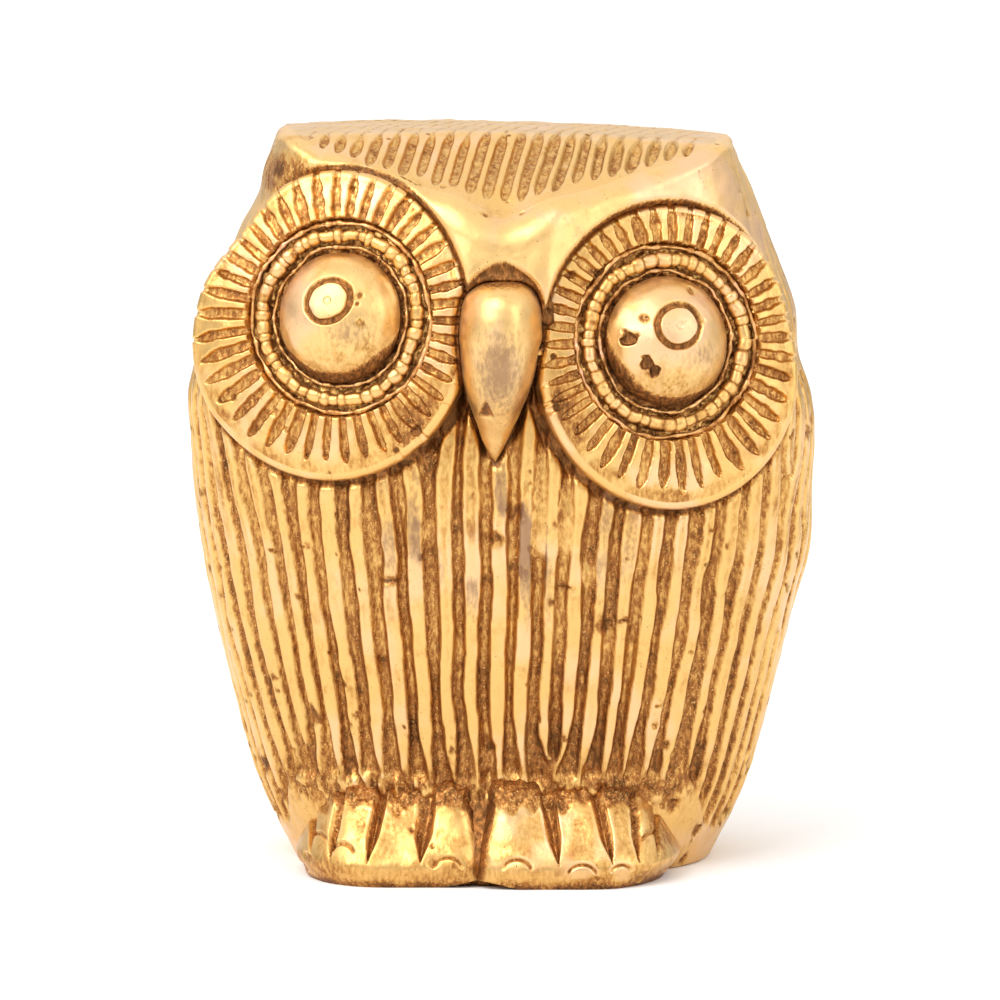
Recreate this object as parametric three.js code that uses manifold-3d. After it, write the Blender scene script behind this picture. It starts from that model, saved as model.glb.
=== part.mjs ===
// A cast brass owl figurine, about three inches tall, in millimetres with +Z up.
// The owl faces -Y. Left and right are the owl's own, so its left eye is on +X.
// The hollow body is open at the base. The crown closes the head, and the brow, the face
// discs with their wires, beads and eyes, the beak and the feet are seated on or in it.
import * as THREE from "three";
import { mergeVertices } from "three/addons/utils/BufferGeometryUtils.js";
import Module from "manifold-3d";

const wasm = await Module();
wasm.setup();

// ---- Driving dimensions ----

const HEIGHT = 76; // base to the flat of the crown
const CROWN_SEAM = 66; // where the crown sits on the body
const GAP = 0.3; // joint gap between two pieces
const DEPTH_SHARE = 0.8; // body half depth over half width

// Half width of the body at heights up the side, from the base to the crown.
const SIDE = [
  [21.6, 0],
  [25.0, 7],
  [28.2, 18],
  [31.0, 31],
  [32.2, 44],
  [30.9, 55],
  [27.4, 65],
  [24.8, 72],
  [23.4, HEIGHT],
];
const BODY_SQUARENESS = 2.4; // superellipse exponent of the body's plan
const HEAD_SQUARENESS = 3.8; // the same at the head, whose front corners carry the discs
const HEAD_FROM = 30; // height where the plan starts to square up
const HEAD_FULL = 58; // and where it is fully square

const FLUTES = 48; // feather grooves round the body
const FLUTE_DEPTH = 0.6;
const FLUTES_FROM = 9;
const FLUTES_TO = 64;

const FOREHEAD_SLOPE = Math.atan(0.5); // fall of the forehead from the crown to the brow
const FOREHEAD_EDGE_Y = -13; // where the flat crown turns down, on the centre line
const FOREHEAD_V = 0.149; // rise of the forehead towards each ear, per mm sideways

const FACE_TURN = THREE.MathUtils.degToRad(20); // each disc faces outwards
const FACE_TILT = THREE.MathUtils.degToRad(6); // and a little upwards
const DISC_THICKNESS = 6;
const DISC_DISH = 0.5; // how far the feather band rises over the disc's middle
const DISC_RAYS = 42;
const RAY_DEPTH = 0.6;
const RING_FLOOR = 0.9; // depth of the recess that holds the wires and beads
const POCKET_REACH = 14; // how far out of its face a disc's pocket is cut clear

const FACES = [
  {
    side: "right",
    turn: -1,
    centre: [-17.4, -23.6, 57.0],
    radii: [14.9, 15.6],
    eye: [1.1, 0.8],
  },
  {
    side: "left",
    turn: 1,
    centre: [17.1, -23.6, 53.8],
    radii: [14.3, 15.3],
    eye: [-0.7, 1.6],
  },
];

const EYE_RADIUS = 6.3;
const EYE_RISE = 4.2; // the dome's height over the disc
const EYE_SHANK = 1.2; // how deep the dome is let into the disc
const PUPIL = { radius: 2.15, groove: 0.3, up: 1.7 };
const INNER_WIRE = { radius: 7.1, wire: 0.38 };
const BEAD_RING = { radius: 8.3, wire: 0.66, beads: 42 };
const BEAD_NECK = 0.62; // thickness between two beads, as a share of a bead's
const OUTER_WIRE = { radius: 9.5, wire: 0.34 };

const BEAK = { top: 63.2, tip: 43.4, halfWidth: 4.15, y: -27.0, depth: 6.2 };

const FEET_TURN = THREE.MathUtils.degToRad(-4); // the feet point a little to the owl's right
const FOOT = { centre: [9.2, -12.6], radii: [11.2, 12.4], height: 10.2, inner: 0.8 };
const TOE_SLOPE = THREE.MathUtils.degToRad(42);
const TOE_CUT = { length: 16, behind: 2.4, height: 6.3, deeper: 1.6 }; // grooves between the toes
const TOE_GROOVES = [
  { fan: -0.42, width: 0.7 },
  { fan: -0.04, width: 0.75 },
  { fan: 0.34, width: 0.75 },
  { fan: 0.8, width: 0.65 },
];

// ---- Helpers ----

const UP = new THREE.Vector3(0, 0, 1);

// A closed geometry as a manifold-3d solid.
function solid(geometry) {
  const bare = geometry.clone();
  bare.deleteAttribute("normal");
  bare.deleteAttribute("uv");
  const merged = mergeVertices(bare, 1e-4);
  return new wasm.Manifold(
    new wasm.Mesh({
      numProp: 3,
      vertProperties: new Float32Array(merged.attributes.position.array),
      triVerts: new Uint32Array(merged.index.array),
    }),
  );
}

// A manifold-3d solid back as a geometry.
function geometryOf(made) {
  const mesh = made.getMesh();
  const geometry = new THREE.BufferGeometry();
  geometry.setAttribute("position", new THREE.BufferAttribute(mesh.vertProperties, 3));
  geometry.setIndex(new THREE.BufferAttribute(mesh.triVerts, 1));
  geometry.computeVertexNormals();
  return geometry;
}

const smooth = (from, to, at) => THREE.MathUtils.smoothstep(at, from, to);

// A lathe stands on +Y, so it is turned to stand on +Z.
function turned(points, segments) {
  return new THREE.LatheGeometry(points, segments).rotateX(Math.PI / 2);
}

// Moves every vertex of a geometry by a function of its position.
function reshape(geometry, move) {
  const at = geometry.attributes.position;
  const point = new THREE.Vector3();
  for (let i = 0; i < at.count; i++) {
    point.fromBufferAttribute(at, i);
    move(point);
    at.setXYZ(i, point.x, point.y, point.z);
  }
  return geometry;
}

// Round to superelliptical: the plan of the body at any height.
function square(point) {
  const radius = Math.hypot(point.x, point.y);
  if (radius < 1e-6) return;
  const power = THREE.MathUtils.lerp(
    BODY_SQUARENESS,
    HEAD_SQUARENESS,
    smooth(HEAD_FROM, HEAD_FULL, point.z),
  );
  const across = point.x / radius;
  const along = point.y / radius;
  point.x = radius * Math.sign(across) * Math.abs(across) ** (2 / power);
  point.y = radius * DEPTH_SHARE * Math.sign(along) * Math.abs(along) ** (2 / power);
}

// The body's outer form, grown sideways, and fluted where asked.
function barrel({ grown = 0, segments = 48, rings = 12, flutes = 0 } = {}) {
  const side = new THREE.SplineCurve(SIDE.map(([r, z]) => new THREE.Vector2(r + grown, z)));
  const profile = [
    new THREE.Vector2(0, 0),
    ...side.getPoints(rings),
    new THREE.Vector2(0, HEIGHT),
  ];
  return reshape(turned(profile, segments), (point) => {
    if (flutes) {
      const turn = Math.atan2(point.y, point.x) / (2 * Math.PI);
      const wave = (1 - Math.cos(2 * Math.PI * flutes * turn)) / 2;
      const fade = smooth(FLUTES_FROM, FLUTES_FROM + 5, point.z)
        * (1 - smooth(FLUTES_TO - 3, FLUTES_TO, point.z));
      const radius = Math.hypot(point.x, point.y);
      if (radius > 1) {
        const kept = 1 - (FLUTE_DEPTH * wave * fade) / radius;
        point.x *= kept;
        point.y *= kept;
      }
    }
    square(point);
  });
}

// A box given by its lowest and highest corners.
function block(low, high) {
  const size = high.map((h, i) => h - low[i]);
  const middle = high.map((h, i) => (h + low[i]) / 2);
  return solid(new THREE.BoxGeometry(...size).translate(...middle));
}

// A flat outline swept straight up from a height.
function prism(points, from, to) {
  const shape = new THREE.Shape(points);
  const settings = { depth: to - from, bevelEnabled: false };
  return new THREE.ExtrudeGeometry(shape, settings).translate(0, 0, from);
}

// A solid with other solids cut out of it.
function without(made, tools) {
  return tools.reduce((left, tool) => left.subtract(tool), made);
}

// Points along one smooth line through a few given ones.
function through(points, count) {
  return new THREE.SplineCurve(points.map(([x, y]) => new THREE.Vector2(x, y))).getPoints(count);
}

// A prism drawn in the front view (X across, Z up), swept along Y.
function frontPrism(points, fromY, toY) {
  const geometry = prism(points, -toY, -fromY);
  return geometry.rotateX(Math.PI / 2);
}

// Where a face disc's own frame stands: its X runs sideways, Y up the disc, Z out of it.
function faceFrame({ turn, centre }) {
  const out = new THREE.Vector3(
    turn * Math.sin(FACE_TURN) * Math.cos(FACE_TILT),
    -Math.cos(FACE_TURN) * Math.cos(FACE_TILT),
    Math.sin(FACE_TILT),
  );
  const sideways = new THREE.Vector3().crossVectors(UP, out).normalize();
  const upwards = new THREE.Vector3().crossVectors(out, sideways);
  return new THREE.Matrix4().makeBasis(sideways, upwards, out).setPosition(...centre);
}

// ---- Face discs, wires, beads and eyes, each in its face's frame ----

function ellipse(geometry, [across, up]) {
  return reshape(geometry, (point) => {
    point.x *= across;
    point.y *= up;
  });
}

// The space that a disc takes, with its joint gap, run out forwards past the brow.
function discPocket({ radii }) {
  const grown = radii.map((r) => r + GAP);
  const back = -DISC_THICKNESS - GAP;
  const profile = [
    [0, back],
    [1, back],
    [1, POCKET_REACH],
    [0, POCKET_REACH],
  ].map(([r, z]) => new THREE.Vector2(r, z));
  return ellipse(turned(profile, 64), grown);
}

// A round cutter standing on a floor, tall enough to come out of the disc's front.
function roundHole(radius, at, floor) {
  const height = 4;
  const cutter = new THREE.CylinderGeometry(radius, radius, height, 48).rotateX(Math.PI / 2);
  return solid(cutter.translate(...at, floor + height / 2));
}

function faceDisc({ radii, eye }) {
  const rim = 1; // profile radii are shares of the disc's own
  const profile = [
    [0, -DISC_THICKNESS],
    [0.96, -DISC_THICKNESS],
    [rim, -DISC_THICKNESS + 0.6],
    [rim, -0.8],
    [0.965, -0.15],
    [0.9, 0],
    [0.64, DISC_DISH],
    [0, DISC_DISH],
  ].map(([r, z]) => new THREE.Vector2(r, z));
  const plate = reshape(turned(profile, 2 * DISC_RAYS), (point) => {
    const ray = Math.round((Math.atan2(point.y, point.x) / Math.PI) * DISC_RAYS);
    const radius = Math.hypot(point.x, point.y);
    if (ray % 2 && point.z > -0.1 && radius > 0.5 && radius < 0.95) point.z -= RAY_DEPTH;
  });
  const recess = roundHole(OUTER_WIRE.radius + OUTER_WIRE.wire + GAP, eye, -RING_FLOOR);
  const socket = roundHole(EYE_RADIUS + GAP, eye, -RING_FLOOR - EYE_SHANK);
  return without(solid(ellipse(plate, radii)), [recess, socket]);
}

function plainWire({ radius, wire }, eye) {
  const ring = new THREE.TorusGeometry(radius, wire, 6, 40);
  return solid(ring.translate(...eye, wire + GAP - RING_FLOOR));
}

// A ring of beads: a wire whose thickness swells once for each bead.
function beadRing({ radius, wire, beads }, eye) {
  const ring = reshape(new THREE.TorusGeometry(radius, wire, 6, 2 * beads), (point) => {
    const turn = Math.round((Math.atan2(point.y, point.x) / Math.PI) * beads);
    const out = Math.hypot(point.x, point.y);
    const swell = turn % 2 ? BEAD_NECK : 1;
    const thin = (radius + (out - radius) * swell) / out;
    point.set(point.x * thin, point.y * thin, point.z * swell);
  });
  return solid(ring.translate(...eye, wire + GAP - RING_FLOOR));
}

// A dome with a short shank, and the pupil's ring engraved in it.
function eyeDome(eye) {
  const ball = (EYE_RADIUS ** 2 + EYE_RISE ** 2) / (2 * EYE_RISE);
  const middle = EYE_RISE - ball;
  const steps = 6;
  const cap = Array.from({ length: steps + 1 }, (_, i) => {
    const angle = Math.asin(EYE_RADIUS / ball) * (1 - i / steps);
    return new THREE.Vector2(ball * Math.sin(angle), middle + ball * Math.cos(angle));
  });
  const foot = -RING_FLOOR - EYE_SHANK + GAP;
  const profile = [new THREE.Vector2(0, foot), new THREE.Vector2(EYE_RADIUS, foot), ...cap];
  const lean = Math.asin(PUPIL.up / ball);
  const groove = new THREE.TorusGeometry(PUPIL.radius, PUPIL.groove, 4, 20)
    .translate(0, 0, Math.sqrt(ball ** 2 - PUPIL.radius ** 2))
    .rotateX(-lean)
    .translate(0, 0, middle);
  return solid(turned(profile, 32)).subtract(solid(groove)).translate(...eye, 0);
}

// ---- Beak, brow, crown, body and feet ----

// An almond standing on its tip, half sunk in the face between the discs.
function beak(grown = 0) {
  const { top, tip, halfWidth, y, depth } = BEAK;
  const outline = through(
    [
      [0.001, tip - grown],
      [1.7, tip + 3.4],
      [3.5, tip + 8.2],
      [halfWidth, tip + 12.4],
      [3.6, top - 2.6],
      [2.0, top - 0.5],
      [0.001, top + grown],
    ],
    14,
  ).map((p) => new THREE.Vector2(p.x < 0.01 ? 0 : p.x + grown, p.y));
  const almond = turned(outline, 28).scale(1, depth / halfWidth, 1);
  return solid(almond.translate(0, y, 0));
}

// The wedge-shaped valley above the brow, highest at the ears.
function foreheadTool() {
  const reach = 40;
  const rise = reach * FOREHEAD_V;
  const shape = [
    [0, 0],
    [reach, rise],
    [reach, 30],
    [-reach, 30],
    [-reach, rise],
  ].map(([x, y]) => new THREE.Vector2(x, y));
  const tool = prism(shape, -40, 40).rotateX(Math.PI / 2 + FOREHEAD_SLOPE);
  return solid(tool.translate(0, FOREHEAD_EDGE_Y, HEIGHT));
}

// The brow runs from ear to ear and down the bridge to the beak.
function brow(cutters) {
  const planFront = through(
    [
      [-22.6, -13.5],
      [-21.6, -18.2],
      [-13, -22.6],
      [-5, -26.6],
      [0, -28.2],
      [5, -26.6],
      [13, -22.6],
      [21.6, -18.2],
      [22.6, -13.5],
    ],
    24,
  );
  const plan = [...planFront, new THREE.Vector2(18, -9), new THREE.Vector2(-18, -9)];
  const upright = solid(prism(plan, 58, HEIGHT - 0.4));
  const front = [
    [-24, 78],
    [-24, 70.5],
    [-10, 62],
    [-3.6, 58],
    [3.6, 58],
    [10, 60],
    [24, 68.5],
    [24, 78],
  ].map(([x, z]) => new THREE.Vector2(x, z));
  const band = solid(frontPrism(front, -40, -8));
  return without(upright.intersect(band), cutters);
}

// A low rounded paw, cut off flat beside the other foot, with grooves fanned out between its toes.
function foot(turn) {
  const { centre, radii, height, inner } = FOOT;
  const profile = [
    [0, 0],
    [0.97, 0],
    [1, 0.24],
    [0.92, 0.48],
    [0.74, 0.74],
    [0.5, 0.92],
    [0, 1],
  ].map(([r, z]) => new THREE.Vector2(r, z * height));
  const paw = ellipse(turned(profile, 40), radii).translate(...centre, 0);
  const cut = TOE_GROOVES.map(({ fan, width }) => {
    const cutter = new THREE.CylinderGeometry(width, width, TOE_CUT.length, 4)
      .scale(1, 1, TOE_CUT.deeper)
      .rotateX(TOE_SLOPE)
      .translate(0, TOE_CUT.behind - radii[1], TOE_CUT.height)
      .rotateZ(fan)
      .translate(...centre, 0);
    return solid(cutter);
  });
  const grooved = without(solid(paw).intersect(block([inner, -40, -1], [40, 0, 20])), cut);
  return turn < 0 ? grooved.mirror([1, 0, 0]) : grooved;
}

// The hollow that the casting core leaves, open at the base.
function cavity() {
  const profile = [
    [0, -1],
    [17.2, -1],
    [17.2, 0.5],
    [21.4, 9],
    [25.4, 22],
    [26.6, 32],
    [23.5, 44],
    [17.5, 52],
    [9, 57.5],
    [0, 59],
  ].map(([r, z]) => new THREE.Vector2(r, z));
  return solid(turned(profile, 32).scale(1, 0.78, 1).translate(0, 0.8, 0));
}

// ---- Assembly ----

const brass = new THREE.MeshStandardMaterial({ color: 0xc8973f, roughness: 0.32, metalness: 1 });
const wornBrass = new THREE.MeshStandardMaterial({ color: 0xd8b080, roughness: 0.26, metalness: 1 });
const darkBrass = new THREE.MeshStandardMaterial({ color: 0xa8742e, roughness: 0.45, metalness: 1 });

const owl = new THREE.Group();

function add(name, made, material, frame) {
  const mesh = new THREE.Mesh(geometryOf(made), material);
  mesh.name = name;
  if (frame) mesh.applyMatrix4(frame);
  owl.add(mesh);
}

const frames = FACES.map(faceFrame);
const pockets = FACES.map((face, i) => solid(discPocket(face).applyMatrix4(frames[i])));
const beakPocket = beak(GAP);
const forehead = foreheadTool();
const head = solid(barrel({ segments: 64, rings: 16 }));
const headGrown = solid(barrel({ grown: GAP, segments: 64, rings: 16 }));
const bodyForm = solid(barrel({ segments: 2 * FLUTES, rings: 14, flutes: FLUTES }));
const above = block([-50, -50, CROWN_SEAM + GAP / 2], [50, 50, HEIGHT + 10]);
const below = block([-50, -50, -1], [50, 50, CROWN_SEAM - GAP / 2]);

const body = without(bodyForm.intersect(below), [...pockets, beakPocket, cavity()]);
const crown = without(head.intersect(above), [...pockets, forehead]);
const ridge = brow([...pockets, beakPocket, forehead, headGrown]);

add("body_shell", body, brass);
add("crown_cap", crown, brass);
add("brow_ridge", ridge, wornBrass);
add("beak", beak().subtract(block([-9, -BEAK.depth + 2, 0], [9, 20, 90])), wornBrass);

FACES.forEach((face, i) => {
  const { side, eye } = face;
  const inFace = frames[i].clone().invert().elements;
  const disc = faceDisc(face).subtract(beakPocket.transform(inFace));
  add(`${side}_face_disc`, disc, brass, frames[i]);
  add(`${side}_inner_wire`, plainWire(INNER_WIRE, eye), darkBrass, frames[i]);
  add(`${side}_bead_ring`, beadRing(BEAD_RING, eye), brass, frames[i]);
  add(`${side}_outer_wire`, plainWire(OUTER_WIRE, eye), darkBrass, frames[i]);
  add(`${side}_eye`, eyeDome(eye), wornBrass, frames[i]);
});

const feet = [
  ["right_foot", -1],
  ["left_foot", 1],
];
for (const [name, turn] of feet) {
  const placed = foot(turn).rotate([0, 0, THREE.MathUtils.radToDeg(FEET_TURN)]);
  add(name, without(placed, [headGrown, headGrown.translate(0, 0, -GAP)]), brass);
}

// The part's origin is on the ground under the middle of its outer box.
owl.updateMatrixWorld(true);
const box = new THREE.Box3().setFromObject(owl, true);
const middle = box.getCenter(new THREE.Vector3());
owl.position.set(-middle.x, -middle.y, -box.min.z);

export default owl;
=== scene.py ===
import math
from functools import partial, reduce

import bpy
import numpy as np
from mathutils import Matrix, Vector


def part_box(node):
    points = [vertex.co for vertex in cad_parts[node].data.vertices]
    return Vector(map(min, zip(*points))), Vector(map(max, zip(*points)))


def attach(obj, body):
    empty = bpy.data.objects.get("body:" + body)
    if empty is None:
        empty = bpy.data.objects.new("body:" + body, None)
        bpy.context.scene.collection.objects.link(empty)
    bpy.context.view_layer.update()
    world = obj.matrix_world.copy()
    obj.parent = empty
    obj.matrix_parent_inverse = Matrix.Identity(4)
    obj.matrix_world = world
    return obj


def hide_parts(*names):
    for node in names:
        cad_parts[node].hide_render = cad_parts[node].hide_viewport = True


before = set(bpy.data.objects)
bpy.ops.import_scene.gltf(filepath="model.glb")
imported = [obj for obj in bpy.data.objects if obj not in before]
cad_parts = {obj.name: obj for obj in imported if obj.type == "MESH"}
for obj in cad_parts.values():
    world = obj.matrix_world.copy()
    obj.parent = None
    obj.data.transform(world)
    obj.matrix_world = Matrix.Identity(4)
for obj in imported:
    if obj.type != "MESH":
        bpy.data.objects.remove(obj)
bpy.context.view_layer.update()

MM = 0.001
CIRCLE = 2 * math.pi
FRONT, BACK, UP = -math.pi / 2, math.pi / 2, np.array([0.0, 0.0, 1.0])


# ---- The frame, in millimetres ----


def node_points(node):
    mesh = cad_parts[node].data
    found = np.empty(len(mesh.vertices) * 3)
    mesh.vertices.foreach_get("co", found)
    return found.reshape(-1, 3) / MM


def node_box(node):
    low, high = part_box(node)
    return np.array(low) / MM, np.array(high) / MM


DEPTH_SHARE = 0.8  # body half depth over half width
shell_low, shell_high = node_box("body_shell")
crown_low, crown_high = node_box("crown_cap")
HALF_WIDTH = (shell_high[0] - shell_low[0]) / 2
HEIGHT = crown_high[2]
SEAM = (shell_high[2] + crown_low[2]) / 2  # where the crown sits on the body
AXIS = np.array([0.0, shell_high[1] - DEPTH_SHARE * HALF_WIDTH, 0.0])


# ---- Numbers: smooth steps, noise and curves ----


def step(low, high, at):
    """0 below low, 1 above high, and a smooth rise between them."""
    t = np.clip((at - low) / (high - low), 0, 1)
    return t * t * (3 - 2 * t)


def mix(a, b, t):
    return a + (b - a) * t


def bell(at, width):
    return np.exp(-((at / width) ** 2))


def most(*layers):
    return reduce(np.maximum, layers)


def all_round(count):
    """Angles evenly spread round a circle."""
    return np.linspace(0, CIRCLE, count, endpoint=False)


def turned_from(angle, at):
    """How far an angle is from a direction, by the shorter way round."""
    return (angle - at + math.pi) % CIRCLE - math.pi


CELLS = 1 << 16
PRIMES = (374761393, 668265263, 1274126177)


def chance(seed, *cells):
    """A fixed random number, 0 to 1, for each whole-number cell."""
    table = np.random.default_rng(seed).random(CELLS)
    mixed = np.zeros(np.shape(cells[0]), np.int64)
    for cell, prime in zip(cells, PRIMES):
        mixed = (mixed ^ (cell.astype(np.int64) * prime)) * 31
        mixed ^= mixed >> 13
    return table[mixed & (CELLS - 1)]


def noise(seed, *at):
    """Smooth noise, -1 to 1, that varies over a distance of about 1."""
    at = np.broadcast_arrays(*at)
    cells = [np.floor(a) for a in at]
    parts = [a - c for a, c in zip(at, cells)]
    parts = [p * p * p * (p * (p * 6 - 15) + 10) for p in parts]
    total = np.zeros(at[0].shape)
    for corner in range(1 << len(at)):
        picks = [corner >> i & 1 for i in range(len(at))]
        share = np.ones(at[0].shape)
        for pick, part in zip(picks, parts):
            share = share * (part if pick else 1 - part)
        total += share * chance(seed, *[c + pick for c, pick in zip(cells, picks)])
    return total * 2 - 1


def rough(seed, octaves, *at):
    """Noise with finer noise added to it."""
    total = np.zeros(np.broadcast(*at).shape)
    for i in range(octaves):
        total += noise(seed + i, *[np.asarray(a) * 2**i for a in at]) / 2**i
    return total


def through(knots, values, at):
    """A smooth line through the given values at the given knots."""
    knots, values = np.asarray(knots, float), np.asarray(values, float)
    slopes = np.gradient(values, knots)
    i = np.clip(np.searchsorted(knots, at) - 1, 0, len(knots) - 2)
    gap = knots[i + 1] - knots[i]
    t = np.clip((at - knots[i]) / gap, 0, 1)
    return (
        values[i] * (1 + 2 * t) * (1 - t) ** 2
        + values[i + 1] * t * t * (3 - 2 * t)
        + gap * t * (1 - t) * (slopes[i] * (1 - t) - slopes[i + 1] * t)
    )


def pits(seed, size, share, *at):
    """Round casting pits: 1 at the middle of a pit and 0 outside it."""
    at = np.broadcast_arrays(*[np.asarray(a) / size for a in at])
    cells = [np.floor(a) for a in at]
    deepest = np.zeros(at[0].shape)
    for corner in range(3 ** len(at)):
        near = [c + corner // 3**i % 3 - 1 for i, c in enumerate(cells)]
        exists = chance(seed, *near) < share
        radius = 0.18 + 0.3 * chance(seed + 1, *near)
        apart = np.zeros(at[0].shape)
        for i, (a, n) in enumerate(zip(at, near)):
            apart += (a - n - 0.3 - 0.4 * chance(seed + 2 + i, *near)) ** 2
        deepest = np.maximum(deepest, exists * step(1, 0.45, np.sqrt(apart) / radius))
    return deepest


def placed_pits(places, jagged, seed, x, y):
    """Ragged pits: each has its place across and up, its size and its depth."""
    depth = np.zeros(x.shape)
    for u, v, size, deep in places:
        ragged = np.hypot(x - u, y - v) / size + jagged * noise(seed, x * 1.5, y * 1.5)
        depth = np.maximum(depth, deep * step(1.1, 0.5, ragged))
    return depth


# ---- Grids of points and the meshes made of them ----


def normals(grid, wrap=True):
    """The outward normal at each point of a grid whose rows run down or away from a pole."""
    if wrap:
        across = np.roll(grid, -1, 1) - np.roll(grid, 1, 1)
    else:
        across = np.gradient(grid, axis=1)
    along = np.gradient(grid, axis=0)
    found = np.cross(along, across)
    return found / np.maximum(np.linalg.norm(found, axis=2, keepdims=True), 1e-9)


def raised(grid, height):
    """The grid moved out along its own normals."""
    return grid + normals(grid) * height[..., None]


def facing_in(points, quads):
    """Whether a closed mesh's faces point inwards, from the sign of the volume they enclose."""
    a, b, c, d = (points[quads[:, i]] for i in range(4))
    return np.einsum("ij,ij->", a - points.mean(0), np.cross(c - a, d - b)) < 0


def add_object(name, data):
    added = bpy.data.objects.new(name, data)
    bpy.context.scene.collection.objects.link(added)
    return added


def put_mesh(name, points, quads, triangles, tarnish_and_painted_light, dulled=None):
    if facing_in(points, quads):
        quads, triangles = quads[:, ::-1], triangles[:, ::-1]
    mesh = bpy.data.meshes.new(name)
    mesh.vertices.add(len(points))
    placed = (points + AXIS) * MM
    mesh.vertices.foreach_set("co", placed.ravel().astype(np.float32))
    corners = np.concatenate([quads.ravel(), triangles.ravel()]).astype(np.int32)
    sides = np.concatenate([np.full(len(quads), 4), np.full(len(triangles), 3)])
    starts = np.concatenate([[0], np.cumsum(sides)[:-1]]).astype(np.int32)
    mesh.loops.add(len(corners))
    mesh.loops.foreach_set("vertex_index", corners)
    mesh.polygons.add(len(sides))
    mesh.polygons.foreach_set("loop_start", starts)
    mesh.polygons.foreach_set("use_smooth", np.ones(len(sides), bool))
    mesh.update(calc_edges=True)
    for layer, values in (("tarnish_and_painted_light", tarnish_and_painted_light), ("dulled", dulled)):
        if values is not None:
            added = mesh.attributes.new(layer, "FLOAT", "POINT")
            added.data.foreach_set("value", values.astype(np.float32))
    return add_object(name, mesh)


def ring_quads(rows, columns, wrap_rows=False):
    """Faces between neighbouring rows of points whose columns close on themselves."""
    r = np.arange(rows if wrap_rows else rows - 1)[:, None]
    c = np.arange(columns)[None, :]
    below = (r + 1) % rows
    beside = (c + 1) % columns
    corners = [(r, c), (below, c), (below, beside), (r, beside)]
    quads = np.broadcast_arrays(*[row * columns + column for row, column in corners])
    return np.stack(quads, -1).reshape(-1, 4)


def skin(name, grid, tarnish_and_painted_light, dulled=None):
    """A closed surface: rows of points from one pole to the other, columns running round."""
    rows, columns = grid.shape[:2]
    poles = np.stack([grid[0].mean(0), grid[-1].mean(0)])
    points = np.concatenate([grid.reshape(-1, 3), poles])
    layers = [
        None if layer is None else np.append(layer.ravel(), [layer[0].mean(), layer[-1].mean()])
        for layer in (tarnish_and_painted_light, dulled)
    ]
    c = np.arange(columns)
    beside = (c + 1) % columns
    first, last = rows * columns, rows * columns + 1
    end = (rows - 1) * columns
    start_cap = np.stack([np.full(columns, first), c, beside], 1)
    end_cap = np.stack([np.full(columns, last), end + beside, end + c], 1)
    caps = np.concatenate([start_cap, end_cap])
    return put_mesh(name, points, ring_quads(rows, columns), caps, *layers)


def tube_ring(name, grid, tarnish_and_painted_light):
    """A closed ring: both rows and columns run round."""
    rows, columns = grid.shape[:2]
    quads = ring_quads(rows, columns, wrap_rows=True)
    none = np.zeros((0, 3), int)
    return put_mesh(name, grid.reshape(-1, 3), quads, none, tarnish_and_painted_light.ravel())


def plate(name, grid, tarnish_and_painted_light, thickness):
    """A patch of surface with a smooth back a little way inside it, closed at its edges."""
    rows, columns = grid.shape[:2]
    back = grid - thickness * normals(grid, wrap=False)
    points = np.concatenate([grid.reshape(-1, 3), back.reshape(-1, 3)])
    values = np.concatenate([tarnish_and_painted_light.ravel(), tarnish_and_painted_light.ravel()])
    r = np.arange(rows - 1)[:, None]
    c = np.arange(columns - 1)[None, :]
    at = r * columns + c
    front = np.stack([at, at + columns, at + columns + 1, at + 1], -1).reshape(-1, 4)
    rear = front[:, ::-1] + rows * columns
    rim = np.concatenate([
        np.arange(columns - 1),
        np.arange(rows - 1) * columns + columns - 1,
        (rows - 1) * columns + np.arange(columns - 1, 0, -1),
        np.arange(rows - 1, 0, -1) * columns,
    ])
    onward = np.roll(rim, -1)
    behind = rows * columns
    edge = np.stack([rim, onward, onward + behind, rim + behind], 1)
    quads = np.concatenate([front, rear, edge])
    return put_mesh(name, points, quads, np.zeros((0, 3), int), values)


def finish_piece(piece, node, slot):
    piece.data.materials.append(BRASSES[slot])
    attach(piece, "root")
    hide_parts(node)


# ---- Face frames, taken from the outer wire of each eye ----

WIRE_SINK = 0.26  # the outer wire's middle lies this far under the disc's datum
DISC_RADII = {"right": np.array([14.9, 15.6]), "left": np.array([14.3, 15.3])}
# where each outline departs from an ellipse: direction, spread and share
LOBES = {"right": [(2.5, 0.4, -0.1), (3.6, 0.4, 0.04)], "left": [(0.1, 0.4, -0.06)]}


class Face:
    """One face disc's own frame, with its origin on the eye's axis: u sideways, v up, w out."""

    def __init__(self, side):
        ring = node_points(f"{side}_outer_wire") - AXIS
        middle = ring.mean(0)
        out = np.linalg.svd(ring - middle, full_matrices=False)[2][2]
        out *= -np.sign(out[1])
        sideways = np.cross(UP, out)
        sideways /= np.linalg.norm(sideways)
        self.side = side
        self.axes = np.stack([sideways, np.cross(out, sideways), out])
        self.origin = middle + WIRE_SINK * out
        disc = (node_points(f"{side}_face_disc") - AXIS - self.origin) @ self.axes.T
        top = disc[disc[:, 1] > disc[:, 1].max() - 0.02]
        self.radii = DISC_RADII[side]
        self.centre = np.array([top[:, 0].mean(), disc[:, 1].max() - self.radii[1]])

    def local(self, points):
        return (points - self.origin) @ self.axes.T

    def world(self, local):
        return local @ self.axes + self.origin

    def share(self, local):
        """How far out a point is, as a share of the disc's outline."""
        u, v = local[..., 0], local[..., 1]
        return np.hypot(u, v) / self.reach(np.arctan2(v, u))

    def reach(self, angle):
        """Distance from the eye's axis to the disc's outline, in a direction."""
        d = np.stack([np.cos(angle), np.sin(angle)], -1) / self.radii
        c = -self.centre / self.radii
        a, b = (d * d).sum(-1), (d * c).sum(-1)
        lobes = 1.0
        for at, wide, size in LOBES[self.side]:
            lobes = lobes + size * bell(turned_from(angle, at), wide)
        return lobes * (-b + np.sqrt(b * b - a * ((c * c).sum() - 1))) / a


FACES = {side: Face(side) for side in ("right", "left")}


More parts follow.
